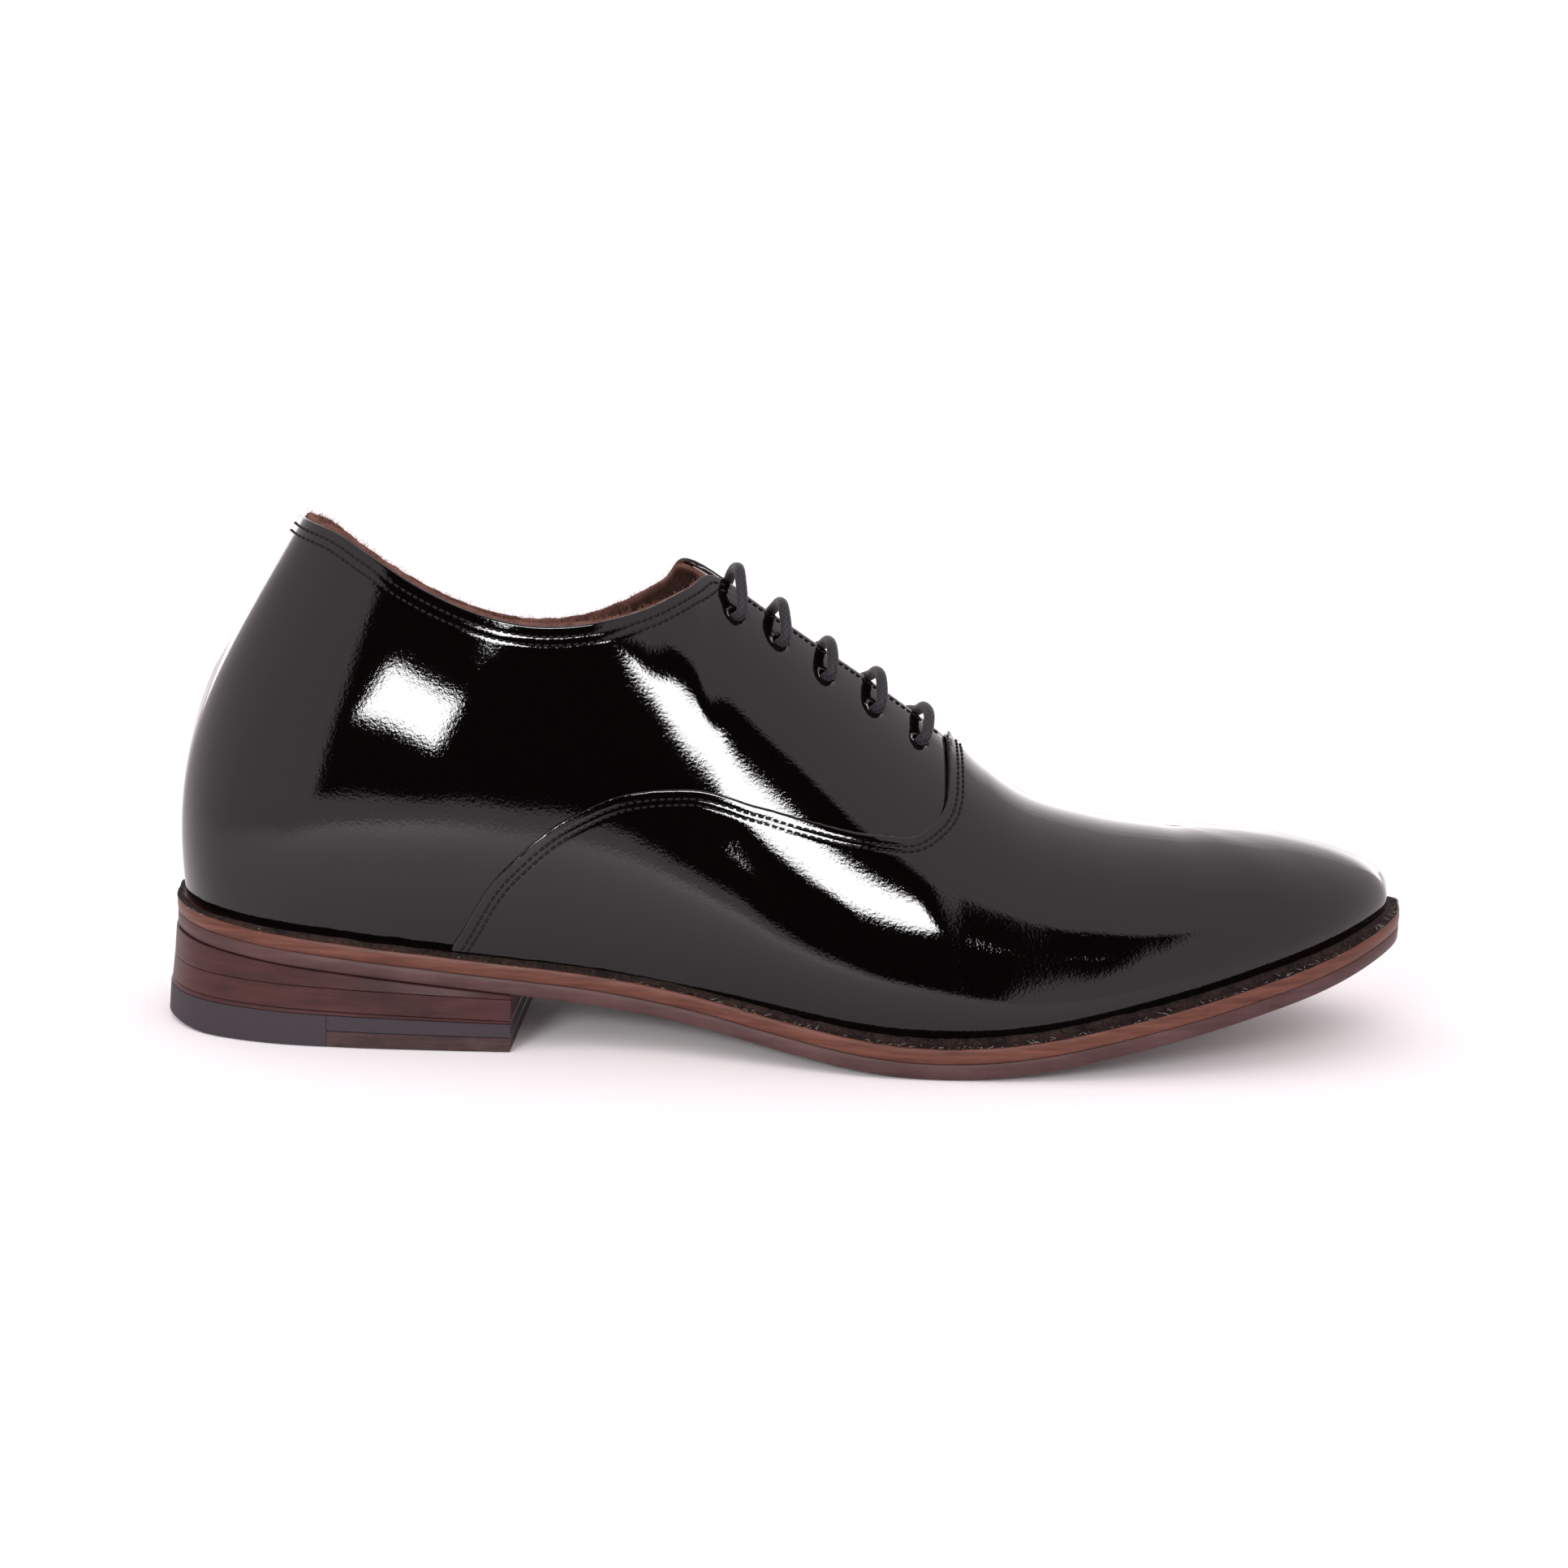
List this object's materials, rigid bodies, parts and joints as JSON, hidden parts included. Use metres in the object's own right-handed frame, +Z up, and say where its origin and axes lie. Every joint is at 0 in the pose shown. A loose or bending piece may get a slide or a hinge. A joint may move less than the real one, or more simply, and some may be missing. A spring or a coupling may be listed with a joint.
{
  "type": "oxford shoe",
  "caption": "Plain-toe oxford shoe with closed lacing, a stacked heel, a brown welted leather sole and a raised inside heel wedge.",
  "frame": {"origin": "on the ground, at the centre of the plan box of the whole shoe", "axes": "+X from the heel back towards the toe tip, +Y towards the inner (medial) side of this right shoe, +Z up"},
  "size_m": [0.309, 0.1043, 0.1221],
  "materials": {
    "upper_leather": "high-gloss black, box-side grain under a thick shine",
    "tongue_leather": "soft black, low sheen",
    "lining_leather": "matt brown lining leather",
    "sock_leather": "matt brown, lightly worn",
    "welt_leather": "brown stained edge, waxed",
    "outsole_leather": "dark brown stained leather, waxed edge",
    "heel_lift": "dark brown stacked leather, waxed edge",
    "heel_rubber": "matt black rubber",
    "stiffener": "stiffened fibre sheet",
    "stay_fabric": "woven reinforcement tape",
    "cork": "pressed cork granules",
    "insole_board": "natural insole leather",
    "shank_steel": "plain spring steel",
    "nail_brass": "dull brass",
    "lace_cotton": "waxed round cotton braid",
    "aglet_plastic": "clear-coated black tip"
  },
  "bodies": {
    "shoe": {"welt_rear": "welt_leather", "outsole_rear": "outsole_leather", "cork_filler_rear": "cork", "shank": "shank_steel", "insole_rear": "insole_board", "height_wedge": "cork", "sock_rear": "sock_leather", "heel_seat_lift": "heel_lift", "heel_main_lift": "heel_lift", "heel_thin_lift": "heel_lift", "heel_rubber": "heel_rubber", "heel_dark_layer": "heel_rubber", "heel_top_leather": "outsole_leather", "heel_nails": "nail_brass", "vamp": "upper_leather", "vamp_lining": "lining_leather", "quarter_lateral": "upper_leather", "quarter_medial": "upper_leather", "quarter_lining_lateral": "lining_leather", "quarter_lining_medial": "lining_leather", "heel_counter": "stiffener", "facing_stay_lateral": "stay_fabric", "facing_stay_medial": "stay_fabric", "blind_eyelets": "nail_brass", "lace": "lace_cotton", "lace_tips": "aglet_plastic"},
    "toe": {"welt_fore": "welt_leather", "outsole_fore": "outsole_leather", "cork_filler_fore": "cork", "insole_fore": "insole_board", "sock_fore": "sock_leather", "toe_puff": "stiffener"},
    "tongue": {"tongue": "tongue_leather", "tongue_lining": "lining_leather"}
  },
  "joints": [
    {"name": "toe_flex", "type": "hinge", "parent": "shoe", "child": "toe", "pos_m": [0.0531, 0, 0.0126], "axis": [0, -1, 0], "range_deg": [0, 30], "stiffness_Nm_per_rad": 6, "deforming": ["vamp", "vamp_lining"]},
    {"name": "tongue_hinge", "type": "hinge", "parent": "shoe", "child": "tongue", "pos_m": [0.0485, 0, 0.0565], "axis": [0, -1, 0], "range_deg": [0, 12], "stiffness_Nm_per_rad": 0.15}
  ]
}
